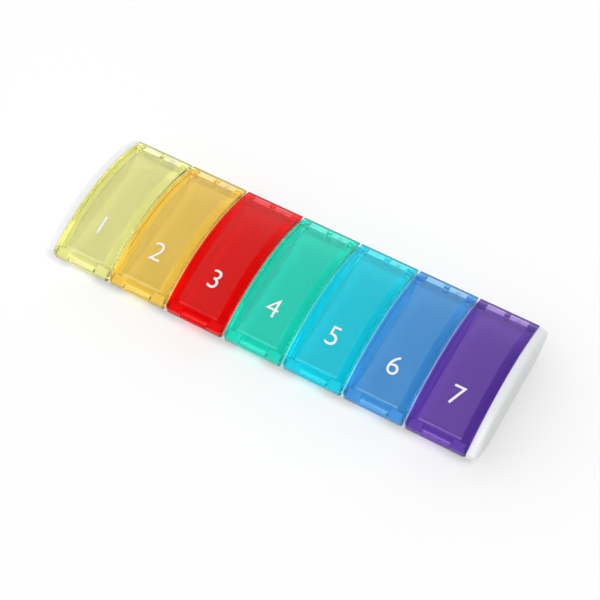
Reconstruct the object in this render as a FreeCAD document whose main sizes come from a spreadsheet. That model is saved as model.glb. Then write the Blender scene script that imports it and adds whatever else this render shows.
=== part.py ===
import FreeCAD, Part
import math
import os

import Sketcher

# A weekly pill organizer: a white tray with seven compartments in a row, six
# partitions that stand in slots of the tray, and seven arched lids, each on its own
# hinge pin.  X runs along the row from Sunday to Saturday, -Y is the side with the
# thumb tabs, +Y the side with the hinges, and Z = 0 is the face it stands on.

DAYS = ("sun", "mon", "tue", "wed", "thu", "fri", "sat")

SIZES = (
    # the row
    ("day_pitch", 28.0, "from one compartment to the next"),
    ("tray_depth", 68.0, "front edge to back edge of a lid"),
    ("crown_height", 21.2, "top of the closed lids"),
    ("arch_radius", 73.0, "arch of the lids, seen from the end"),
    # tray
    ("belly_radius", 17.6, "roundness of the tray's lower edges"),
    ("shoulder_inset", 0.3, "tray behind the front and back edge of the lids"),
    ("tray_wall", 1.6, "floor and belly"),
    ("rim_inset", 3.9, "inner face of the front and back wall"),
    ("rim_clearance", 0.2, "between the rim and the front lip of a lid"),
    ("rim_drop", 0.3, "top of the rim below the lid"),
    ("end_length", 4.0, "white end outside the last compartment"),
    ("end_drop", 0.3, "top of the white ends below the top of the lids"),
    ("end_rise", 4.0, "rounding of the ends towards the floor"),
    ("end_crown_rounding", 1.6, "rounding of the ends at the top"),
    ("end_corner_rounding", 1.0, "rounding of the ends at the front and back"),
    ("scoop_width", 13.7, "finger scoop in the front of the tray"),
    ("scoop_wall", 1.2, "wall left behind the finger scoop"),
    # partitions
    ("divider_thickness", 0.5, "partition"),
    ("divider_drop", 1.7, "top of a partition below the top of the lids"),
    ("divider_inset", 1.6, "ends of a partition behind the edges of the lids"),
    ("slot_depth", 0.7, "slots that hold the partitions"),
    ("slot_clearance", 0.05, "between a partition and its slot"),
    # lids
    ("side_gap", 0.15, "between a lid and the partition beside it"),
    ("seam_gap", 0.2, "between the front edge of a lid and the ledge"),
    ("lid_thickness", 1.4, "top of a lid"),
    ("lip_height", 3.1, "front lip of a lid"),
    ("lip_thickness", 0.7, "front lip of a lid"),
    ("skirt_thickness", 1.0, "side skirts of a lid"),
    ("skirt_lift", 0.3, "lower edge of the skirts above the front lip's"),
    ("lid_rounding", 0.5, "outer edges of a lid"),
    ("corner_rounding", 1.4, "front corners of a lid"),
    ("back_thickness", 0.6, "back edge of a lid"),
    ("back_bevel", 1.4, "thinner part along the back edge of a lid"),
    ("window_margin", 4.7, "clear border round the frosted window"),
    ("window_recess", 0.5, "frosted window, recessed from below"),
    ("tab_width", 12.5, "thumb tab"),
    ("tab_depth", 0.8, "thumb tab, front to back"),
    ("tab_thickness", 1.2, "thumb tab"),
    ("tab_wall", 1.1, "front of a lid behind the thumb tab"),
    # hinge
    ("hinge_inset", 2.4, "hinge axis in front of the back edge"),
    ("back_wall_reach", 0.4, "the tray's back wall behind the hinge axis"),
    ("barrel_drop", 0.35, "top of the tray's barrels below the lid"),
    ("knuckle_radius", 1.5, "hinge knuckles"),
    ("end_knuckle_width", 3.9, "outer knuckles of a lid"),
    ("hook_width", 1.6, "middle knuckle of a lid"),
    ("knuckle_gap", 0.3, "between neighbouring knuckles, and under them"),
    ("pin_radius", 0.7, "hinge pin"),
    ("pin_clearance", 0.05, "between the pin and a lid's bore"),
    # catch
    ("catch_height", 0.25, "how far the ridges of the tab and of the rims stand out"),
    ("catch_length", 0.6, "those ridges, up and down"),
    ("catch_clearance", 0.1, "between two ridges as they pass"),
)

doc = FreeCAD.newDocument("pill_organizer")
sheet = doc.addObject("Spreadsheet::Sheet", "Sizes")
for row, (alias, value, note) in enumerate(SIZES, 1):
    sheet.set("A%d" % row, alias)
    sheet.set("B%d" % row, str(value))
    sheet.setAlias("B%d" % row, alias)
    sheet.set("C%d" % row, note)
doc.recompute()


class Size:
    """A length worked out from the sheet: its value now, and its expression."""

    def __init__(self, value, text):
        self.value = value
        self.text = text

    def _with(self, other, sign, value, swap=False):
        other = other if isinstance(other, Size) else Size(other, repr(float(other)))
        first, second = (other, self) if swap else (self, other)
        return Size(value(first.value, second.value),
                    "(%s %s %s)" % (first.text, sign, second.text))

    def __add__(self, other):
        return self._with(other, "+", lambda a, b: a + b)

    def __radd__(self, other):
        return self._with(other, "+", lambda a, b: a + b, swap=True)

    def __sub__(self, other):
        return self._with(other, "-", lambda a, b: a - b)

    def __rsub__(self, other):
        return self._with(other, "-", lambda a, b: a - b, swap=True)

    def __mul__(self, other):
        return self._with(other, "*", lambda a, b: a * b)

    __rmul__ = __mul__

    def __truediv__(self, other):
        return self._with(other, "/", lambda a, b: a / b)

    def __neg__(self):
        return Size(-self.value, "(0 - %s)" % self.text)


def root(area):
    return Size(math.sqrt(area.value), "sqrt(%s)" % area.text)


def other_leg(hypotenuse, leg):
    return root(hypotenuse * hypotenuse - leg * leg)


def named(alias):
    return Size(float(sheet.get(alias)), "Sizes." + alias)


# ---------------------------------------------------------------- sizes in use

(day_pitch, tray_depth, crown_height, arch_radius,
 belly_radius, shoulder_inset, tray_wall, rim_inset, rim_clearance, rim_drop,
 end_length, end_drop, end_rise, end_crown_rounding, end_corner_rounding,
 scoop_width, scoop_wall,
 divider_thickness, divider_drop, divider_inset, slot_depth, slot_clearance,
 side_gap, seam_gap, lid_thickness, lip_height, lip_thickness, skirt_thickness,
 skirt_lift, lid_rounding, corner_rounding, back_thickness, back_bevel,
 window_margin, window_recess,
 tab_width, tab_depth, tab_thickness, tab_wall,
 hinge_inset, back_wall_reach, barrel_drop, knuckle_radius, end_knuckle_width,
 hook_width, knuckle_gap, pin_radius, pin_clearance,
 catch_height, catch_length, catch_clearance) = [named(alias) for alias, _, _ in SIZES]

ZERO = Size(0.0, "0")
CLEAR = 5.0                      # how far a cut runs past the piece

row_half = day_pitch * (len(DAYS) / 2)
lid_width = day_pitch - divider_thickness - 2 * side_gap
lid_edge = tray_depth / 2
arch_center = crown_height - arch_radius


def arch_at(y, drop):
    """Height of the arch at y, on the surface that lies drop under the lids' top."""
    return arch_center + other_leg(arch_radius - drop, y)


# Along the front edge: the lid's lip, the ledge under it and the rims behind it, which
# leave room for the thumb tab between them.
edge_top = arch_at(lid_edge, ZERO)
parting_height = edge_top - lip_height
shoulder_height = parting_height - seam_gap
lip_inner = lid_edge - lip_thickness
rim_outer = lip_inner - rim_clearance
rim_height = arch_at(rim_outer, lid_thickness + rim_drop)
rim_start = tab_width / 2 + 2 * catch_height + catch_clearance
tab_inner = lid_edge - tab_depth - tab_wall

# The skirts' lower edge is an arc round the arch's center too.
skirt_rise = parting_height + skirt_lift - arch_center
skirt_drop = arch_radius - root(lip_inner * lip_inner + skirt_rise * skirt_rise)

# The hollow tray.
tray_edge = lid_edge - shoulder_inset
belly_center = tray_edge - other_leg(belly_radius, belly_radius - shoulder_height)
wall_inner = lid_edge - rim_inset
cavity_radius = belly_radius - tray_wall

# The hinge axis, and the low wall that the tray's barrels stand on.
hinge_y = lid_edge - hinge_inset
barrel_arch = arch_radius - lid_thickness - barrel_drop
hinge_height = arch_at(hinge_y, lid_thickness + barrel_drop + knuckle_radius)
back_wall_top = hinge_height - knuckle_radius - knuckle_gap
back_wall_outer = hinge_y + back_wall_reach


# ---------------------------------------------------------------- sketches

class Arc:
    """The way to the next corner of an outline: an arc round a center."""

    def __init__(self, y, z, radius, clockwise=False):
        self.center = FreeCAD.Vector(y.value, z.value, 0)
        self.radius = radius
        self.clockwise = clockwise


def as_size(number):
    return number if isinstance(number, Size) else Size(float(number), repr(float(number)))


def hold(sketch, kind, where, length):
    """Adds a dimension to a sketch and binds it to the sheet."""
    index = sketch.addConstraint(Sketcher.Constraint(kind, *where, length.value))
    sketch.setExpression("Constraints[%d]" % index, length.text)


def new_sketch(body, name, plane, offset=ZERO):
    sketch = body.newObject("Sketcher::SketchObject", name)
    origin_plane = [o for o in body.Origin.OriginFeatures if o.Role == plane][0]
    sketch.AttachmentSupport = (origin_plane, [""])
    sketch.MapMode = "FlatFace"
    sketch.setExpression("AttachmentOffset.Base.z", offset.text)
    return sketch


def outline(body, name, path, plane="YZ_Plane", offset=ZERO):
    """A closed outline from its corners, with an Arc between two that it joins.

    A corner is (y, z), or (x, z) on the XZ plane.
    """
    sketch = new_sketch(body, name, plane, offset)
    corners = [step for step in path if not isinstance(step, Arc)]
    arcs = {}
    seen = 0
    for step in path:
        if isinstance(step, Arc):
            arcs[seen - 1] = step
        else:
            seen += 1
    corners = [(as_size(y), as_size(z)) for y, z in corners]
    ends = []
    for number, (y, z) in enumerate(corners):
        next_y, next_z = corners[(number + 1) % len(corners)]
        start = FreeCAD.Vector(y.value, z.value, 0)
        end = FreeCAD.Vector(next_y.value, next_z.value, 0)
        if number not in arcs:
            sketch.addGeometry(Part.LineSegment(start, end), False)
            ends.append((1, 2))
            continue
        arc = arcs[number]
        from_point, to_point = (end, start) if arc.clockwise else (start, end)
        angles = [math.atan2(p.y - arc.center.y, p.x - arc.center.x)
                  for p in (from_point, to_point)]
        circle = Part.Circle(arc.center, FreeCAD.Vector(0, 0, 1), arc.radius.value)
        sketch.addGeometry(Part.ArcOfCircle(circle, *angles), False)
        ends.append((2, 1) if arc.clockwise else (1, 2))
    for number, (y, z) in enumerate(corners):
        following = (number + 1) % len(corners)
        sketch.addConstraint(Sketcher.Constraint(
            "Coincident", number, ends[number][1], following, ends[following][0]))
        hold(sketch, "DistanceX", (-1, 1, number, ends[number][0]), y)
        hold(sketch, "DistanceY", (-1, 1, number, ends[number][0]), z)
        if number in arcs:
            hold(sketch, "Radius", (number,), arcs[number].radius)
    return sketch


def circle(body, name, y, z, radius, offset=ZERO):
    sketch = new_sketch(body, name, "YZ_Plane", offset)
    center = FreeCAD.Vector(y.value, z.value, 0)
    sketch.addGeometry(Part.Circle(center, FreeCAD.Vector(0, 0, 1), radius.value), False)
    hold(sketch, "DistanceX", (-1, 1, 0, 3), y)
    hold(sketch, "DistanceY", (-1, 1, 0, 3), z)
    hold(sketch, "Radius", (0,), radius)
    return sketch


# ---------------------------------------------------------------- features

def extrude(body, kind, sketch, length):
    """A Pad or Pocket of a sketch, half its length to each side of it."""
    feature = body.newObject("PartDesign::" + kind, sketch.Name + "_" + kind.lower())
    feature.Profile = sketch
    feature.SideType = "Symmetric"
    feature.setExpression("Length", as_size(length).text)
    body.Tip = feature
    sketch.Visibility = False
    return feature


def repeat(body, features, sketch, count):
    """Copies features along the row, one pitch apart."""
    pattern = body.newObject("PartDesign::LinearPattern", features[0].Name + "_row")
    pattern.Originals = features
    pattern.Direction = (sketch, ["N_Axis"])
    pattern.Occurrences = count
    pattern.setExpression("Length", (day_pitch * (count - 1)).text)
    body.Tip = pattern
    return pattern


def add_ridge(body, name, x, z):
    """One ridge of the catch, on an upright face at x beside the thumb tab."""
    ridge = outline(body, name, (
        (x - catch_height, z), (x, z - catch_length / 2),
        (x + catch_height, z), (x, z + catch_length / 2)),
        plane="XZ_Plane", offset=(rim_outer + tab_inner) / 2)
    return extrude(body, "Pad", ridge, rim_outer - tab_inner)


def new_body(label):
    body = doc.addObject("PartDesign::Body", label)
    body.Label = label
    return body


# ---------------------------------------------------------------- tray

def tray_section(rise, crown, corner):
    """Outline of the tray from the end, drawn in at the floor, the top and the edges."""
    edge = tray_edge - corner
    run = edge - belly_center
    climb = shoulder_height - rise
    radius = (run * run + climb * climb) / (2 * climb)
    top = arch_at(edge, end_drop + crown)
    return (
        (-edge, shoulder_height), Arc(-belly_center, rise + radius, radius),
        (-belly_center, rise),
        (belly_center, rise), Arc(belly_center, rise + radius, radius),
        (edge, shoulder_height),
        (edge, top), Arc(ZERO, arch_center, arch_radius - end_drop - crown),
        (-edge, top))


def add_ends(body):
    """The rounded white ends: sections that draw in along a quarter of an ellipse."""
    sections = []
    for number, angle in enumerate((0, 30, 60, 90)):
        forward = math.sin(math.radians(angle))
        inward = 1 - math.cos(math.radians(angle))
        sections.append(outline(
            body, "end_section_%d" % number,
            tray_section(end_rise * inward, end_crown_rounding * inward,
                         end_corner_rounding * inward),
            offset=row_half + end_length * forward))
    loft = body.newObject("PartDesign::AdditiveLoft", "right_end")
    loft.Profile = sections[0]
    loft.Sections = sections[1:]
    body.Tip = loft
    mirror = body.newObject("PartDesign::Mirrored", "left_end")
    mirror.Originals = [loft]
    mirror.MirrorPlane = ([o for o in body.Origin.OriginFeatures
                           if o.Role == "YZ_Plane"][0], [""])
    body.Tip = mirror


def cavity(radius, wall, floor):
    """The lower part of the hollow, from the front wall down and up to the back."""
    return (
        (-wall, belly_radius - other_leg(radius, wall - belly_center)),
        Arc(-belly_center, belly_radius, radius),
        (-belly_center, floor),
        (belly_center, floor), Arc(belly_center, belly_radius, radius),
        (wall, belly_radius - other_leg(radius, wall - belly_center)))


def build_tray():
    body = new_body("tray")
    block = outline(body, "block", tray_section(ZERO, ZERO, ZERO))
    extrude(body, "Pad", block, 2 * row_half)
    add_ends(body)

    above = crown_height + CLEAR
    beyond = lid_edge + CLEAR
    hollow = outline(body, "hollow", (
        (-beyond, shoulder_height), (-wall_inner, shoulder_height),
        *cavity(cavity_radius, wall_inner, tray_wall),
        (wall_inner, back_wall_top), (back_wall_outer, back_wall_top),
        (back_wall_outer, shoulder_height / 2), (beyond, shoulder_height / 2),
        (beyond, above), (-beyond, above)))
    extrude(body, "Pocket", hollow, 2 * row_half - divider_thickness)

    # What repeats in every compartment: finger scoop, a rim each side of the thumb
    # tab with its ridge, and two hinge barrels.
    first_bay = -row_half + day_pitch / 2
    scoop_face = wall_inner + scoop_wall
    scoop = outline(body, "finger_scoop", (
        (-beyond, shoulder_height / 2), (-scoop_face, shoulder_height / 2),
        (-scoop_face, shoulder_height), (-beyond, shoulder_height)), offset=first_bay)
    in_every_bay = [extrude(body, "Pocket", scoop, scoop_width)]

    rim_end = lid_width / 2 - skirt_thickness - rim_clearance
    rim_root = shoulder_height - tray_wall / 2
    rim_top = arch_radius - lid_thickness - rim_drop
    for name, side in (("left", -1), ("right", 1)):
        rim = outline(body, name + "_rim", (
            (-rim_outer, rim_root), (-wall_inner, rim_root),
            (-wall_inner, arch_at(wall_inner, lid_thickness + rim_drop)),
            Arc(ZERO, arch_center, rim_top), (-rim_outer, rim_height)),
            offset=first_bay + (rim_start + rim_end) / 2 * side)
        in_every_bay.append(extrude(body, "Pad", rim, rim_end - rim_start))
        in_every_bay.append(add_ridge(body, name + "_rim_ridge",
                                      first_bay + rim_start * side,
                                      rim_height - catch_length / 2))

    barrel_width = (lid_width - 2 * end_knuckle_width - hook_width) / 2 - 2 * knuckle_gap
    barrel_middle = hook_width / 2 + knuckle_gap + barrel_width / 2
    low_z = hinge_height - other_leg(knuckle_radius, back_wall_outer - hinge_y)
    reach = barrel_arch / (barrel_arch - knuckle_radius)
    for name, side in (("left_barrel", -1), ("right_barrel", 1)):
        barrel = outline(body, name, (
            (wall_inner, back_wall_top - knuckle_gap),
            (back_wall_outer, back_wall_top - knuckle_gap),
            (back_wall_outer, low_z), Arc(hinge_y, hinge_height, knuckle_radius),
            (hinge_y * reach, arch_center + (hinge_height - arch_center) * reach),
            Arc(ZERO, arch_center, barrel_arch),
            (wall_inner, arch_at(wall_inner, lid_thickness + barrel_drop))),
            offset=first_bay + barrel_middle * side)
        in_every_bay.append(extrude(body, "Pad", barrel, barrel_width))
    repeat(body, in_every_bay, scoop, len(DAYS))

    bore = circle(body, "pin_bore", hinge_y, hinge_height, pin_radius)
    extrude(body, "Pocket", bore, 2 * row_half - day_pitch / 2)

    slot = outline(body, "slot", (
        (-beyond, shoulder_height), (-wall_inner - slot_depth, shoulder_height),
        *cavity(cavity_radius + slot_depth, wall_inner + slot_depth,
                tray_wall - slot_depth),
        (wall_inner + slot_depth, back_wall_top), (beyond, back_wall_top),
        (beyond, above), (-beyond, above)), offset=-row_half + day_pitch)
    slot_pocket = extrude(body, "Pocket", slot, divider_thickness + 2 * slot_clearance)
    repeat(body, [slot_pocket], slot, len(DAYS) - 1)
    return body


# ---------------------------------------------------------------- partitions

def build_divider(number):
    body = new_body("divider_%s_%s" % (DAYS[number], DAYS[number + 1]))
    edge = lid_edge - divider_inset
    wall = wall_inner + slot_depth - slot_clearance
    top = arch_at(edge, divider_drop)
    plate = outline(body, body.Name + "_plate", (
        (-edge, shoulder_height), (-wall, shoulder_height),
        *cavity(cavity_radius + slot_depth - slot_clearance, wall,
                tray_wall - slot_depth + slot_clearance),
        (wall, back_wall_top), (edge, back_wall_top),
        (edge, top), Arc(ZERO, arch_center, arch_radius - divider_drop), (-edge, top)))
    extrude(body, "Pad", plate, divider_thickness)
    body.setExpression("Placement.Base.x", (-row_half + day_pitch * (number + 1)).text)
    return body


# ---------------------------------------------------------------- lids

def round_edges(body, name, base, radius, chosen):
    """Fillets the edges of the feature base whose middle point is a chosen one."""
    doc.recompute()
    names = []
    for number, edge in enumerate(base.Shape.Edges, 1):
        if chosen(edge.valueAt((edge.FirstParameter + edge.LastParameter) / 2)):
            names.append("Edge%d" % number)
    fillet = body.newObject("PartDesign::Fillet", name)
    fillet.Base = (base, names)
    fillet.setExpression("Radius", radius.text)
    body.Tip = fillet
    return fillet


def is_front_corner(point):
    at_front = abs(point.y + lid_edge.value) < 1e-4
    between = parting_height.value + 1e-4 < point.z < edge_top.value - 1e-4
    return at_front and between


def is_top_edge(point):
    """On the arch, and not on its back edge."""
    height = math.hypot(point.y, point.z - arch_center.value)
    return abs(height - arch_radius.value) < 1e-4 and point.y < lid_edge.value - 1e-4


def build_lid(day, number):
    body = new_body("lid_" + day)
    prefix = body.Name + "_"
    bevel_y = lid_edge - back_bevel
    bevel_z = arch_at(bevel_y, lid_thickness)
    shell = outline(body, prefix + "shell", (
        (-lid_edge, edge_top), (-lid_edge, parting_height),
        (-lip_inner, parting_height), (-lip_inner, arch_at(lip_inner, skirt_drop)),
        Arc(ZERO, arch_center, arch_radius - skirt_drop, clockwise=True),
        (hinge_y, arch_at(hinge_y, skirt_drop)),
        (bevel_y, bevel_z), (lid_edge, edge_top - back_thickness),
        (lid_edge, edge_top), Arc(ZERO, arch_center, arch_radius)))
    shell_pad = extrude(body, "Pad", shell, lid_width)
    corners = round_edges(body, prefix + "corners", shell_pad, corner_rounding,
                          is_front_corner)
    round_edges(body, prefix + "rounding", corners, lid_rounding, is_top_edge)

    below = shoulder_height - CLEAR
    past_back = lid_edge + lid_thickness
    hollow = outline(body, prefix + "hollow", (
        (-lip_inner, below), (past_back, below),
        (past_back, arch_at(past_back, lid_thickness)),
        Arc(ZERO, arch_center, arch_radius - lid_thickness),
        (-lip_inner, arch_at(lip_inner, lid_thickness))))
    extrude(body, "Pocket", hollow, lid_width - 2 * skirt_thickness)

    pane = lid_edge - window_margin
    thinner = lid_thickness - window_recess
    window = outline(body, prefix + "window", (
        (-pane, parting_height), (pane, parting_height),
        (pane, arch_at(pane, thinner)), Arc(ZERO, arch_center, arch_radius - thinner),
        (-pane, arch_at(pane, thinner))))
    extrude(body, "Pocket", window, day_pitch - 2 * window_margin)

    # Thumb tab: the front is thicker there, and its edge above the tab is set back.
    sink = lid_thickness / 2
    in_lip = lid_edge - lip_thickness / 2
    tab = outline(body, prefix + "thumb_tab", (
        (-in_lip, parting_height), (-tab_inner, parting_height),
        (-tab_inner, arch_at(tab_inner, sink)), (-in_lip, arch_at(in_lip, sink))))
    extrude(body, "Pad", tab, tab_width)
    tab_top = parting_height + tab_thickness
    step = outline(body, prefix + "thumb_step", (
        (-lid_edge - CLEAR, tab_top), (-lid_edge + tab_depth, tab_top),
        (-lid_edge + tab_depth, crown_height), (-lid_edge - CLEAR, crown_height)))
    extrude(body, "Pocket", step, tab_width)
    for name, side in (("left_ridge", -1), ("right_ridge", 1)):
        add_ridge(body, prefix + name, tab_width / 2 * side,
                  parting_height + catch_length / 2)

    # Three hinge knuckles hang from the back of the top.
    front = hinge_y - knuckle_radius
    knuckle_path = (
        (front, hinge_height), Arc(hinge_y, hinge_height, knuckle_radius),
        (hinge_y, hinge_height - knuckle_radius),
        Arc(hinge_y, hinge_height, knuckle_radius),
        (hinge_y + knuckle_radius, hinge_height),
        (bevel_y, bevel_z), (bevel_y, bevel_z + sink / 2),
        (front, arch_at(front, sink)))
    side = (lid_width - end_knuckle_width) / 2
    for name, offset, width in (("left_knuckle", -side, end_knuckle_width),
                                ("hook", ZERO, hook_width),
                                ("right_knuckle", side, end_knuckle_width)):
        knuckle = outline(body, prefix + name, knuckle_path, offset=offset)
        extrude(body, "Pad", knuckle, width)
    bore = circle(body, prefix + "bore", hinge_y, hinge_height,
                  pin_radius + pin_clearance)
    extrude(body, "Pocket", bore, lid_width + CLEAR)
    body.setExpression("Placement.Base.x",
                       (-row_half + day_pitch * (number + 0.5)).text)
    return body


# ---------------------------------------------------------------- hinge pins

def build_pin(day, number):
    pin = doc.addObject("Part::Cylinder", "hinge_pin_" + day)
    pin.Label = "hinge_pin_" + day
    pin.setExpression("Radius", pin_radius.text)
    pin.setExpression("Height", lid_width.text)
    pin.Placement.Rotation = FreeCAD.Rotation(FreeCAD.Vector(0, 1, 0), 90)
    middle = -row_half + day_pitch * (number + 0.5)
    pin.setExpression("Placement.Base.x", (middle - lid_width / 2).text)
    pin.setExpression("Placement.Base.y", hinge_y.text)
    pin.setExpression("Placement.Base.z", hinge_height.text)
    return pin


# ---------------------------------------------------------------- the whole

pieces = [build_tray()]
pieces += [build_divider(number) for number in range(len(DAYS) - 1)]
pieces += [build_lid(day, number) for number, day in enumerate(DAYS)]
pieces += [build_pin(day, number) for number, day in enumerate(DAYS)]
doc.recompute()

for item in doc.Objects:
    bad = [state for state in item.State if state in ("Invalid", "Error")]
    if bad:
        raise RuntimeError("%s did not build: %s" % (item.Label, bad))
for piece in pieces:
    if piece.Shape.isNull() or not piece.Shape.isValid():
        raise RuntimeError("%s has no valid shape" % piece.Label)

os.makedirs("parts", exist_ok=True)
for piece in pieces:
    piece.Shape.exportStep(os.path.join("parts", piece.Label + ".step"))
    print("%-16s %8.1f mm3" % (piece.Label, piece.Shape.Volume))
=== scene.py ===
"""The looks of a weekly pill organizer: seven tinted lids over a white tray."""

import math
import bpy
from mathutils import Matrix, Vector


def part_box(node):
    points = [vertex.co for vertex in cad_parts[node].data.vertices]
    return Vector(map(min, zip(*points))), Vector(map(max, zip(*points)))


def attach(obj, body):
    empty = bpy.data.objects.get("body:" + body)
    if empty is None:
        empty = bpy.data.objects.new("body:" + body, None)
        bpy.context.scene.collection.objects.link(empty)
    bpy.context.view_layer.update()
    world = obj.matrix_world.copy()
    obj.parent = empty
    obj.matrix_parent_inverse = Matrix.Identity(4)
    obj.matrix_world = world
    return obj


bl_info = {
    "name": "Weekly pill organizer",
    "version": (1, 0, 0),
    "blender": (4, 5, 0),
    "location": "View3D > Sidebar > Pill organizer",
    "description": "Finishes a weekly pill organizer and sets it on a pale floor",
    "category": "Object",
}

import bmesh
import bpy
from mathutils import Matrix, Vector

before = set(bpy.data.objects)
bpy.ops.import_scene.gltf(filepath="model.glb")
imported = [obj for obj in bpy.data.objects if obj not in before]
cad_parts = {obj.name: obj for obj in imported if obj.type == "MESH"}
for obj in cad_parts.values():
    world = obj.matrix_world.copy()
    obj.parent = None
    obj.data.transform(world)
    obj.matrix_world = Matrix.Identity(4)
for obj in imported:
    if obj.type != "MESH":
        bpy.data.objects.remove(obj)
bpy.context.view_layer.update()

MM = 0.001
WHITE = (1.0, 1.0, 1.0, 1.0)
BLACK = (0.0, 0.0, 0.0, 1.0)
DAYS = ("sun", "mon", "tue", "wed", "thu", "fri", "sat")

# The lids are alike, so one of them gives the height and the back edge of all.
LID_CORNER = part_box("lid_wed")[1]
CROWN = LID_CORNER.z
LID_EDGE = LID_CORNER.y

# The ring of an ejector mark: steps around it, and sides of its line.
MARK_STEPS = 32
MARK_SIDES = 8

# A number starts in font units: half its thickness, and how close two of its
# corners are when they become one.
FONT_EXTRUDE = 0.01
FONT_WELD = 1e-5
# How far the middle of the ink is above the lid, in thicknesses of ink. The ink is
# sunk in a little, so that no light passes under it.
INK_LIFT = 0.3

# Noises in the surfaces: features per metre, and levels of detail.
NOISES = {
    "satin grain": (2600.0, 3.0),
    "tray flow": (45.0, 2.0),
    "frost grain": (3200.0, 3.0),
    "lid flow": (60.0, 2.0),
    "ink patches": (900.0, 3.0),
    "floor speckle": (300.0, 2.0),
}
# How widely those noises spread the roughness.
SATIN_SPREAD = 0.16
TRAY_FLOW_SPREAD = 0.08
FROST_SPREAD = 0.10
LID_FLOW_SPREAD = 0.03
INK_SPREAD = 0.15
SPECKLE_SPREAD = 0.1

# What is left of a colour in the darker flow marks, and in the ink's patches.
FLOW_SHADE = 0.95
PATCH_SHADE = 0.94

PLASTIC_IOR = 1.49
INK_IOR = 1.45
FLOOR_IOR = 1.3
INK_ROUGHNESS = 0.45
FLOOR_ROUGHNESS = 0.8

# How many thicknesses of the top light crosses in deep plastic and in the dark edges, and
# the share of colour kept in those edges, which are darkened further as painted shade.
DEEP = 3
SHADED = 4
SHADE_LIGHT = 0.6

# The frosted surface's own colour is a little white and a share of the tint.
VEIL_WHITE = 0.035
VEIL_TINT = 0.45
VEIL_ROUGHNESS = 0.6
VEIL_SHEEN = 0.25

# The camera's sensor in millimetres, and how far it sees in metres.
SENSOR_WIDTH = 36.0
VIEW_END = 20.0


# ---------------------------------------------------------------- settings

def length(name, description, default):
    return bpy.props.FloatProperty(name=name, description=description, default=default,
                                   unit="LENGTH", precision=5)


def plain(name, description, default):
    return bpy.props.FloatProperty(name=name, description=description, default=default)


def colour(name, description, default):
    return bpy.props.FloatVectorProperty(name=name, description=description,
                                         default=default, subtype="COLOR", size=3,
                                         min=0.0, max=1.0)


def share(name, description, default):
    return bpy.props.FloatProperty(name=name, description=description, default=default,
                                   subtype="FACTOR", min=0.0, max=1.0)


def angle(name, description, degrees):
    return bpy.props.FloatProperty(name=name, description=description,
                                   default=math.radians(degrees), unit="ROTATION")


class LidColours(bpy.types.PropertyGroup):
    """What the top of each lid lets through where it is thin"""

    sun: colour("Sunday", "Yellow-green lid", (0.985, 0.98, 0.79))
    mon: colour("Monday", "Amber lid", (1.00, 0.915, 0.62))
    tue: colour("Tuesday", "Red lid", (0.98, 0.285, 0.285))
    wed: colour("Wednesday", "Green lid", (0.42, 0.95, 0.89))
    thu: colour("Thursday", "Cyan lid", (0.375, 0.93, 0.975))
    fri: colour("Friday", "Blue lid", (0.575, 0.80, 0.955))
    sat: colour("Saturday", "Purple lid", (0.67, 0.55, 0.845))


class LidSettings(bpy.types.PropertyGroup):
    """Zones and finish of the lids"""

    arch_radius: length("Arch radius", "Radius of the lids' arch", 73.0 * MM)
    window_width: length("Window width", "Frosted window, along the row", 18.6 * MM)
    window_length: length("Window length", "Frosted window, front to back", 58.6 * MM)
    edge_blend: length("Edge blend", "Softness of the window's edge", 0.15 * MM)
    rim_inset: length("Rim inset", "Inner face of the tray's rims", 3.9 * MM)
    barrel_inset: length("Barrel inset", "Front of the hinge's barrels", 4.3 * MM)
    tab_width: length("Tab width", "Thumb tab, with its gaps", 13.4 * MM)
    hook_width: length("Hook width", "Middle knuckle of the hinge, with its gaps",
                       2.2 * MM)
    back_edge: length("Back edge", "Thick edge behind the hinge's barrels", 1.3 * MM)
    depth_blend: length("Depth blend", "Softness between thin and deep plastic",
                        0.25 * MM)
    polish: share("Polish", "Roughness of the clear border", 0.05)
    frost: share("Frost", "Roughness of the frosted window", 0.15)
    veil: share("Veil", "How much light the frosted surface scatters", 0.20)
    window_shade: share("Window shade", "Light that the frosted window holds back", 0.20)
    clear_depth: share("Clear depth", "Depth of colour of the clear border", 0.5)
    frosted_depth: share("Frosted depth", "Depth of colour of the frosted window", 0.8)
    # Over the rims and barrels the lid's colour is painted paler: painted light for the
    # white under the lid.
    corner_depth: share("Corner depth", "Depth of colour over the tray's rims", 0.65)
    barrel_depth: share("Barrel depth", "Depth of colour over the hinge's barrels", 0.05)
    # Painted shade on the lid's front corners and thick back edge.
    corner_shade: share("Corner shade", "How dark the lid's front corners are", 0.5)
    back_shade: share("Back shade", "How dark the lid's thick back edge is", 0.7)
    frost_grain: length("Frost grain", "Height of the window's grain", 0.03 * MM)
    frost_relief: share("Frost relief", "How strongly that grain shows", 0.10)


class PrintSettings(bpy.types.PropertyGroup):
    """The printed numbers"""

    ink: colour("Ink", "Printed numbers", (0.84, 0.84, 0.84))
    height: length("Height", "Height of a number", 8.4 * MM)
    middle: length("Middle", "Middle of a number, along the arch from the crown",
                   -15.7 * MM)
    thickness: length("Thickness", "Thickness of the ink", 0.03 * MM)
    thinning: plain("Thinning", "What comes off each side of a stroke, in font units",
                    0.006)
    facet: length("Facet", "Length of the flat steps that follow the arch", 0.6 * MM)
    grain: length("Grain", "Height of the ink's patches", 0.02 * MM)
    relief: share("Relief", "How strongly those patches show", 0.05)


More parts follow.
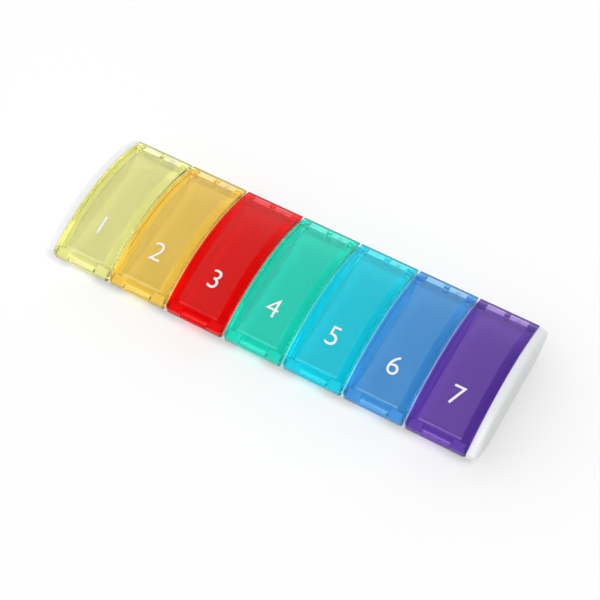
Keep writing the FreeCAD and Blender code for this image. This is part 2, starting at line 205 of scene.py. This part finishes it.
class TraySettings(bpy.types.PropertyGroup):
    """The white tray, its partitions, the pins and the ejector marks"""

    plastic: colour("Plastic", "Tray and partitions", (0.825, 0.84, 0.845))
    pins: colour("Pins", "Hinge pins", (0.70, 0.71, 0.71))
    # The ejector marks' grey is painted shade: the real ring shows darker only by its
    # shadow.
    mark: colour("Mark", "Ejector marks", (0.42, 0.44, 0.45))
    sheen: share("Sheen", "Roughness of the white plastic", 0.34)
    grain: length("Grain", "Height of the satin grain", 0.05 * MM)
    relief: share("Relief", "How strongly that grain shows", 0.08)
    glow: share("Glow", "Light that spreads inside the white plastic", 0.8)
    depth: length("Depth", "How far it spreads", 2.0 * MM)
    # Painted shade: the middles of the compartments' floors are darkened in colour. The
    # sizes and limits below belong to this painted shade.
    rubbed: share("Rubbed", "What the rubbed floors reflect less", 0.12)
    floor_width: length("Floor width", "Rubbed part of a compartment, along the row",
                        20.0 * MM)
    floor_depth: length("Floor depth", "Rubbed part of a compartment, front to back",
                        54.0 * MM)
    floor_blend: length("Floor blend", "Softness of the rubbed part's edge", 3.0 * MM)
    foot: length("Foot", "Height below which nothing is rubbed", 1.0 * MM)
    foot_blend: length("Foot blend", "Softness of that limit", 0.3 * MM)
    mark_radius: length("Mark radius", "Ejector mark on a hinge barrel", 0.75 * MM)
    mark_line: length("Mark line", "Width of the ejector mark's line", 0.30 * MM)
    barrel_middle: length("Barrel middle", "Middle of a barrel beside the lid's middle",
                          5.25 * MM)
    barrel_drop: length("Barrel drop", "Top of the barrels below the lids' top",
                        1.75 * MM)


class StudioSettings(bpy.types.PropertyGroup):
    """Camera, floor and light"""

    azimuth: angle("Azimuth", "Camera to the right of the front", 30.4)
    elevation: angle("Elevation", "Camera above the floor", 57.4)
    roll: angle("Roll", "Tilt of the camera", -0.8)
    distance: length("Distance", "Camera to what it looks at", 688.8 * MM)
    target: bpy.props.FloatVectorProperty(
        name="Target", description="What the camera looks at",
        default=(5.57 * MM, -3.56 * MM, 12.8 * MM), subtype="TRANSLATION")
    lens: plain("Lens", "Focal length on a 36 mm sensor, in millimetres", 99.48)
    floor: colour("Floor", "The floor it stands on", (0.96, 0.96, 0.96))
    floor_reach: length("Floor reach", "Middle of the floor to its edges", 1.6)
    floor_gap: length("Floor gap", "Floor below the tray's foot", 0.02 * MM)
    ambient: plain("Ambient", "Light from all round", 0.72)
    side: share("Side light", "How much more of it comes from the left", 0.9)
    key: plain("Key lamp", "Strength of the lamp, high at the front right", 1.10)
    key_spread: angle("Key spread", "Width of the lamp, as seen", 25.0)
    key_direction: bpy.props.FloatVectorProperty(
        name="Key direction", description="From the tray to the lamp",
        default=(0.36, -0.24, 0.90), subtype="DIRECTION")


# ---------------------------------------------------------------- shader maths

class Value:
    """A node's number output that can stand in a sum."""

    def __init__(self, nodes, socket):
        self.nodes = nodes
        self.socket = socket

    def math(self, operation, *others):
        return self.nodes.math(operation, self, *others)

    def __add__(self, other):
        return self.math("ADD", other)

    __radd__ = __add__

    def __sub__(self, other):
        return self.math("SUBTRACT", other)

    def __rsub__(self, other):
        return self.nodes.math("SUBTRACT", other, self)

    def __mul__(self, other):
        return self.math("MULTIPLY", other)

    __rmul__ = __mul__

    def __truediv__(self, other):
        return self.math("DIVIDE", other)

    def __neg__(self):
        return self.math("MULTIPLY", -1.0)

    def __abs__(self):
        return self.math("ABSOLUTE")

    def clamped(self):
        return self.math("MINIMUM", 1.0).math("MAXIMUM", 0.0)


class Nodes:
    """The node tree of a material or a world, under construction."""

    def __init__(self, owner):
        owner.use_nodes = True
        self.tree = owner.node_tree
        self.tree.nodes.clear()

    def add(self, kind, options=None, values=(), **inputs):
        """A node: its options are set first, then its inputs, in order or by name."""
        node = self.tree.nodes.new(kind)
        for option, value in (options or {}).items():
            setattr(node, option, value)
        for socket, value in zip(node.inputs, values):
            self.feed(socket, value)
        for name, value in inputs.items():
            self.feed(self.named(node, name), value)
        return node

    def named(self, node, name):
        """The input in use that has this name, written with _ for a space."""
        wanted = name.replace("_", " ").lower()
        return next(socket for socket in node.inputs
                    if socket.enabled and socket.name.lower() == wanted)

    def feed(self, socket, value):
        if isinstance(value, Value):
            value = value.socket
        if isinstance(value, bpy.types.NodeSocket):
            self.tree.links.new(value, socket)
        else:
            socket.default_value = value

    def math(self, operation, *values):
        node = self.add("ShaderNodeMath", {"operation": operation}, values)
        return Value(self, node.outputs[0])

    def split(self, vector):
        """A vector's three numbers."""
        parts = self.add("ShaderNodeSeparateXYZ", Vector=vector)
        return [Value(self, out) for out in parts.outputs]


class Shader(Nodes):
    """A material under construction."""

    def __init__(self, name):
        self.material = bpy.data.materials.new(name)
        super().__init__(self.material)
        # Where a point of the surface is, in the frame that all pieces share.
        self.place = self.add("ShaderNodeTexCoord").outputs["Object"]

    def noise(self, name):
        scale, detail = NOISES[name]
        node = self.add("ShaderNodeTexNoise", Vector=self.place, Scale=scale,
                        Detail=detail)
        return Value(self, node.outputs[0])

    def blend(self, factor, first, second):
        """A colour between two."""
        node = self.add("ShaderNodeMix", {"data_type": "RGBA"}, Factor=factor,
                        A=first, B=second)
        return node.outputs["Result"]

    def bump(self, height, strength, distance):
        return self.add("ShaderNodeBump", Height=height, Strength=strength,
                        Distance=distance).outputs["Normal"]

    def principled(self, **inputs):
        return self.add("ShaderNodeBsdfPrincipled", **inputs).outputs[0]

    def mix(self, factor, first, second):
        """A shader between two."""
        return self.add("ShaderNodeMixShader", values=(factor, first, second)).outputs[0]

    def finish(self, surface):
        self.add("ShaderNodeOutputMaterial", Surface=surface)
        return self.material


def rgba(value):
    return (*value, 1.0)


def spread(noise, width):
    """What a noise adds to a roughness: as much above it as below."""
    return (noise - 0.5) * width


# ---------------------------------------------------------------- finishes

def rubbed_floors(shader, tray):
    """The middles of the compartments' floors, where painted shade darkens the colour."""
    x, y, z = shader.split(shader.place)
    pitch = lid_middle("mon") - lid_middle("sun")
    off_middle = abs(x.math("WRAP", pitch / 2, -pitch / 2))
    inside_x = ((tray.floor_width / 2 - off_middle) / tray.floor_blend + 0.5).clamped()
    inside_y = ((tray.floor_depth / 2 - abs(y)) / tray.floor_blend + 0.5).clamped()
    above_foot = ((z - tray.foot) / tray.foot_blend).clamped()
    return inside_x * inside_y * above_foot


def moulded_white(name, tint, tray, has_floor_shade=False):
    """Moulded plastic with a fine satin grain and faint flow marks."""
    shader = Shader(name)
    grain = shader.noise("satin grain")
    flow = shader.noise("tray flow")
    plastic = shader.blend(flow, rgba(c * FLOW_SHADE for c in tint), rgba(tint))
    # Painted shade darkens the floors' middles.
    if has_floor_shade:
        plastic = shader.blend(rubbed_floors(shader, tray) * tray.rubbed, plastic, BLACK)
    return shader.finish(shader.principled(
        Base_Color=plastic,
        Roughness=tray.sheen + spread(grain, SATIN_SPREAD) + spread(flow, TRAY_FLOW_SPREAD),
        Normal=shader.bump(grain, tray.relief, tray.grain),
        IOR=PLASTIC_IOR, Subsurface_Weight=tray.glow, Subsurface_Scale=tray.depth,
        Subsurface_Radius=(1.0, 1.0, 1.0)))


def deepened(tint, thicknesses):
    """What several thicknesses of a tinted plastic let through."""
    return tuple(c ** thicknesses for c in tint)


def lid_zones(shader, middle_x, lid):
    """Masks of a lid: its frosted window, how deep its colour is, and its shade."""
    x, y, _ = shader.split(shader.place)
    off_middle = abs(x - middle_x)

    def within(distance, size):
        return ((size / 2 - distance) / lid.edge_blend).clamped()

    def past(distance, limit):
        return ((distance - limit) / lid.depth_blend).clamped()

    window = within(off_middle, lid.window_width) * within(abs(y), lid.window_length)

    # Light crosses more plastic in the skirts and in the thumb tab than in the top. Over
    # the tray's rims and barrels the plastic is painted paler, as painted light for the lit
    # white under it.
    rim = LID_EDGE - lid.rim_inset
    inside_skirts = 1.0 - past(off_middle, lid.window_width / 2)
    thin = inside_skirts * (1.0 - past(abs(y), rim))
    corner = past(-y, rim) * past(off_middle, lid.tab_width / 2)
    back_edge = past(y, LID_EDGE - lid.back_edge)
    barrel = (past(y, LID_EDGE - lid.barrel_inset) * (1.0 - back_edge)
              * past(off_middle, lid.hook_width / 2) * inside_skirts)
    depth = (1.0 - thin * (1.0 - lid.clear_depth) - corner * (1.0 - lid.corner_depth)
             - barrel * (1.0 - lid.barrel_depth)
             + window * (lid.frosted_depth - lid.clear_depth))
    # The front corners and the thick back edge are darkened: a deeper colour, and painted
    # shade.
    shade = back_edge * lid.back_shade + corner * lid.corner_shade
    return window, depth.clamped(), shade


def light_through(shader, tint, window, lid):
    """What a lid lets the lamps cast on the pieces under it."""
    # A ray crosses the lid's top and its underside, and each holds back its part.
    kept = math.sqrt(1 - lid.window_shade)
    bright = shader.add("ShaderNodeBsdfTransparent", Color=rgba(tint))
    shaded = shader.add("ShaderNodeBsdfTransparent", Color=rgba(c * kept for c in tint))
    return shader.mix(window, bright.outputs[0], shaded.outputs[0])


def tinted_lid(name, tint, middle_x, lid):
    """Clear tinted plastic with a frosted window, lit through by the lamps."""
    shader = Shader(name)
    window, depth, shade = lid_zones(shader, middle_x, lid)
    deep = deepened(tint, DEEP)
    dark = (SHADE_LIGHT * c for c in deepened(tint, SHADED))
    plastic = shader.blend(depth, rgba(tint), rgba(deep))
    plastic = shader.blend(shade, plastic, rgba(dark))

    grain = shader.noise("frost grain")
    flow = shader.noise("lid flow")
    normal = shader.bump(grain * window, lid.frost_relief, lid.frost_grain)
    clear = shader.principled(
        Base_Color=plastic,
        Roughness=(lid.polish + window * (lid.frost - lid.polish)
                   + spread(grain, FROST_SPREAD) * window + spread(flow, LID_FLOW_SPREAD)),
        Normal=normal, IOR=PLASTIC_IOR, Transmission_Weight=1.0,
        Specular_Tint=rgba(deep))
    scatter = shader.principled(
        Base_Color=rgba(VEIL_WHITE + VEIL_TINT * c for c in deep),
        Roughness=VEIL_ROUGHNESS, Normal=normal, IOR=PLASTIC_IOR,
        Specular_IOR_Level=VEIL_SHEEN)
    surface = shader.mix(window * lid.veil, clear, scatter)
    is_shadow = shader.add("ShaderNodeLightPath").outputs["Is Shadow Ray"]
    through = light_through(shader, tint, window, lid)
    return shader.finish(shader.mix(is_shadow, surface, through))


def printed_ink(name, printing):
    """Matt ink, a little uneven."""
    shader = Shader(name)
    patches = shader.noise("ink patches")
    darker = rgba(c * PATCH_SHADE for c in printing.ink)
    return shader.finish(shader.principled(
        Base_Color=shader.blend(patches, darker, rgba(printing.ink)),
        Roughness=INK_ROUGHNESS + patches * INK_SPREAD,
        Normal=shader.bump(patches, printing.relief, printing.grain),
        IOR=INK_IOR))


def pale_floor(name, tint):
    """A matt, faintly speckled floor."""
    shader = Shader(name)
    speckle = shader.noise("floor speckle")
    return shader.finish(shader.principled(
        Base_Color=rgba(tint), Roughness=FLOOR_ROUGHNESS + speckle * SPECKLE_SPREAD,
        IOR=FLOOR_IOR))


def dress(node, material):
    """Gives a CAD node its finish."""
    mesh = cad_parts[node].data
    mesh.materials.clear()
    mesh.materials.append(material)


# ---------------------------------------------------------------- shapes

def lid_middle(day):
    low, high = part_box("lid_" + day)
    return (low.x + high.x) / 2


def new_piece(name, mesh, material):
    mesh.name = name
    mesh.materials.append(material)
    piece = bpy.data.objects.new(name, mesh)
    bpy.context.scene.collection.objects.link(piece)
    return piece


def mesh_of(shape):
    """Turns a shape into a mesh and frees it."""
    mesh = bpy.data.meshes.new("shape")
    shape.to_mesh(mesh)
    shape.free()
    return mesh


def mark_ring(tray):
    """A low ring, round its own middle."""
    shape = bmesh.new()
    for turn in range(MARK_STEPS):
        around = 2 * math.pi * turn / MARK_STEPS
        for side in range(MARK_SIDES):
            lift = 2 * math.pi * side / MARK_SIDES
            radius = tray.mark_radius + tray.mark_line / 2 * math.cos(lift)
            shape.verts.new((radius * math.cos(around), radius * math.sin(around),
                             tray.mark_line / 4 * math.sin(lift)))
    shape.verts.ensure_lookup_table()
    for turn in range(MARK_STEPS):
        near = turn * MARK_SIDES
        far = (turn + 1) % MARK_STEPS * MARK_SIDES
        for side in range(MARK_SIDES):
            following = (side + 1) % MARK_SIDES
            shape.faces.new([shape.verts[i] for i in (
                near + side, far + side, far + following, near + following)])
    return shape


def flat_number(number, thinning):
    """A number in the built-in font, in font units."""
    text = bpy.data.curves.new("number", "FONT")
    text.body = str(number)
    text.align_x = "CENTER"
    text.extrude = FONT_EXTRUDE
    text.offset = -thinning
    carrier = bpy.data.objects.new("number", text)
    bpy.context.scene.collection.objects.link(carrier)
    bpy.context.view_layer.update()
    mesh = bpy.data.meshes.new_from_object(carrier)
    bpy.data.objects.remove(carrier)
    bpy.data.curves.remove(text)
    shape = bmesh.new()
    shape.from_mesh(mesh)
    bpy.data.meshes.remove(mesh)
    return shape


def size_number(shape, printing):
    """Brings a number to its height and thickness, about its middle."""
    low = Vector([min(v.co[i] for v in shape.verts) for i in range(3)])
    high = Vector([max(v.co[i] for v in shape.verts) for i in range(3)])
    scale = printing.height / (high.y - low.y)
    middle = (low + high) / 2
    bmesh.ops.remove_doubles(shape, verts=shape.verts, dist=FONT_WELD)
    for vertex in shape.verts:
        away = vertex.co - middle
        away.xy = away.xy * scale
        away.z = away.z / (high.z - low.z) * printing.thickness
        vertex.co = away


def cut_strips(shape, printing):
    """Cuts a number across, so that it can bend."""
    steps = math.ceil(printing.height / printing.facet)
    for step in range(1, steps):
        cut = Vector((0, (step / steps - 0.5) * printing.height, 0))
        bmesh.ops.bisect_plane(
            shape, geom=shape.verts[:] + shape.edges[:] + shape.faces[:],
            plane_co=cut, plane_no=(0, 1, 0))


def bend_number(shape, printing, radius, middle_x):
    """Lays a flat number on the arch."""
    for vertex in shape.verts:
        across, along, up = vertex.co
        turn = (printing.middle + along) / radius
        out = radius + up + printing.thickness * INK_LIFT
        vertex.co = (middle_x + across, out * math.sin(turn),
                     CROWN - radius + out * math.cos(turn))


# ---------------------------------------------------------------- operators

class ORGANIZER_OT_tray(bpy.types.Operator):
    """Finish the white tray and its partitions"""

    bl_idname = "organizer.tray"
    bl_label = "Tray and partitions"

    def execute(self, context):
        tray = context.scene.organizer_tray
        white = moulded_white("white_plastic", tray.plastic, tray, has_floor_shade=True)
        dress("tray", white)
        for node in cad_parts:
            if node.startswith("divider_"):
                dress(node, white)
        return {"FINISHED"}


class ORGANIZER_OT_pins(bpy.types.Operator):
    """Finish the hinge pins"""

    bl_idname = "organizer.pins"
    bl_label = "Hinge pins"

    def execute(self, context):
        tray = context.scene.organizer_tray
        plastic = moulded_white("pin_plastic", tray.pins, tray)
        for day in DAYS:
            dress("hinge_pin_" + day, plastic)
        return {"FINISHED"}


class ORGANIZER_OT_marks(bpy.types.Operator):
    """Add the ejector mark to one hinge barrel of every compartment"""

    bl_idname = "organizer.marks"
    bl_label = "Ejector marks"

    def execute(self, context):
        tray = context.scene.organizer_tray
        # Painted shade: the ring is made of grey plastic.
        plastic = moulded_white("mark_plastic", tray.mark, tray)
        for day in DAYS:
            mesh = self.mesh(tray, context.scene.organizer_lids.arch_radius, day)
            piece = new_piece("ejector_mark_" + day, mesh, plastic)
            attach(piece, "tray")
        return {"FINISHED"}

    def mesh(self, tray, arch_radius, day):
        """A ring on top of the right-hand barrel, tilted with the arch."""
        pin_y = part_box("hinge_pin_" + day)[0].y
        radius = arch_radius - tray.barrel_drop
        slope = math.asin(pin_y / radius)
        middle = Vector((lid_middle(day) + tray.barrel_middle, pin_y,
                         CROWN - arch_radius + radius * math.cos(slope)))
        ring = mark_ring(tray)
        bmesh.ops.transform(ring, verts=ring.verts,
                            matrix=Matrix.Translation(middle)
                            @ Matrix.Rotation(-slope, 4, "X"))
        return mesh_of(ring)


class ORGANIZER_OT_lids(bpy.types.Operator):
    """Finish the seven tinted lids"""

    bl_idname = "organizer.lids"
    bl_label = "Lids"

    def execute(self, context):
        tints = context.scene.organizer_colours
        for day in DAYS:
            dress("lid_" + day, tinted_lid(
                "tinted_" + day, tuple(getattr(tints, day)), lid_middle(day),
                context.scene.organizer_lids))
        return {"FINISHED"}


class ORGANIZER_OT_numbers(bpy.types.Operator):
    """Print a number on every lid"""

    bl_idname = "organizer.numbers"
    bl_label = "Printed numbers"

    def execute(self, context):
        printing = context.scene.organizer_print
        ink = printed_ink("white_ink", printing)
        for number, day in enumerate(DAYS, 1):
            shape = flat_number(number, printing.thinning)
            size_number(shape, printing)
            cut_strips(shape, printing)
            bend_number(shape, printing, context.scene.organizer_lids.arch_radius,
                        lid_middle(day))
            piece = new_piece("number_" + day, mesh_of(shape), ink)
            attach(piece, "lid_" + day)
        return {"FINISHED"}


class ORGANIZER_OT_stage(bpy.types.Operator):
    """Set the floor, the light and the camera"""

    bl_idname = "organizer.stage"
    bl_label = "Stage"

    def execute(self, context):
        studio = context.scene.organizer_studio
        self.floor(studio)
        self.sky(context.scene, studio)
        self.lamp(context.scene, studio)
        self.camera(context.scene, studio)
        context.scene.view_settings.view_transform = "Standard"
        return {"FINISHED"}

    def floor(self, studio):
        shape = bmesh.new()
        bmesh.ops.create_grid(shape, x_segments=1, y_segments=1, size=studio.floor_reach)
        piece = new_piece("floor", mesh_of(shape), pale_floor("pale_floor", studio.floor))
        piece.location.z = -studio.floor_gap

    def sky(self, scene, studio):
        """Light all round, more from the left; seen or mirrored, it is white."""
        scene.world = bpy.data.worlds.new("studio")
        nodes = Nodes(scene.world)
        rays = nodes.add("ShaderNodeLightPath").outputs
        seen = nodes.math("MAXIMUM", rays["Is Camera Ray"], rays["Is Glossy Ray"])
        seen = seen.math("MAXIMUM", rays["Is Transmission Ray"])
        to_right = nodes.split(nodes.add("ShaderNodeTexCoord").outputs["Generated"])[0]
        sided = studio.ambient - to_right * (studio.side * studio.ambient)
        strength = nodes.add("ShaderNodeMapRange", Value=seen, To_Min=sided, To_Max=1.0)
        light = nodes.add("ShaderNodeBackground", Color=WHITE,
                          Strength=strength.outputs["Result"])
        nodes.add("ShaderNodeOutputWorld", Surface=light.outputs[0])

    def lamp(self, scene, studio):
        """A far, broad lamp, which lights the floor evenly."""
        data = bpy.data.lights.new("key_lamp", "SUN")
        data.energy = studio.key
        data.angle = studio.key_spread
        lamp = bpy.data.objects.new("key_lamp", data)
        scene.collection.objects.link(lamp)
        towards = Vector(studio.key_direction).to_track_quat("Z", "Y")
        lamp.rotation_euler = towards.to_euler()

    def camera(self, scene, studio):
        data = bpy.data.cameras.new("camera")
        data.sensor_width = SENSOR_WIDTH
        data.lens = studio.lens
        data.clip_end = VIEW_END
        camera = bpy.data.objects.new("camera", data)
        scene.collection.objects.link(camera)
        back = Vector((math.sin(studio.azimuth) * math.cos(studio.elevation),
                       -math.cos(studio.azimuth) * math.cos(studio.elevation),
                       math.sin(studio.elevation)))
        side = Vector((0, 0, 1)).cross(back).normalized()
        top = back.cross(side)
        right = math.cos(studio.roll) * side + math.sin(studio.roll) * top
        up = math.cos(studio.roll) * top - math.sin(studio.roll) * side
        turn = Matrix((right, up, back)).transposed().to_4x4()
        eye = Vector(studio.target) + back * studio.distance
        camera.matrix_world = Matrix.Translation(eye) @ turn
        scene.camera = camera


class ORGANIZER_PT_panel(bpy.types.Panel):
    """Lists the pieces and their settings"""

    bl_idname = "ORGANIZER_PT_panel"
    bl_label = "Pill organizer"
    bl_space_type = "VIEW_3D"
    bl_region_type = "UI"
    bl_category = "Pill organizer"

    def draw(self, context):
        for operator in OPERATORS:
            self.layout.operator(operator.bl_idname)
        for name, group in GROUPS.items():
            box = self.layout.box()
            box.label(text=group.__doc__)
            for key in group.__annotations__:
                box.prop(getattr(context.scene, name), key)


GROUPS = {
    "organizer_colours": LidColours,
    "organizer_lids": LidSettings,
    "organizer_print": PrintSettings,
    "organizer_tray": TraySettings,
    "organizer_studio": StudioSettings,
}
OPERATORS = (
    ORGANIZER_OT_tray,
    ORGANIZER_OT_pins,
    ORGANIZER_OT_marks,
    ORGANIZER_OT_lids,
    ORGANIZER_OT_numbers,
    ORGANIZER_OT_stage,
)


def register():
    for name, group in GROUPS.items():
        bpy.utils.register_class(group)
        setattr(bpy.types.Scene, name, bpy.props.PointerProperty(type=group))
    for operator in OPERATORS:
        bpy.utils.register_class(operator)
    bpy.utils.register_class(ORGANIZER_PT_panel)


def unregister():
    bpy.utils.unregister_class(ORGANIZER_PT_panel)
    for operator in reversed(OPERATORS):
        bpy.utils.unregister_class(operator)
    for name, group in reversed(GROUPS.items()):
        delattr(bpy.types.Scene, name)
        bpy.utils.unregister_class(group)


def main():
    register()
    bpy.ops.organizer.tray()
    bpy.ops.organizer.pins()
    bpy.ops.organizer.marks()
    bpy.ops.organizer.lids()
    bpy.ops.organizer.numbers()
    bpy.ops.organizer.stage()


if __name__ == "__main__":
    main()
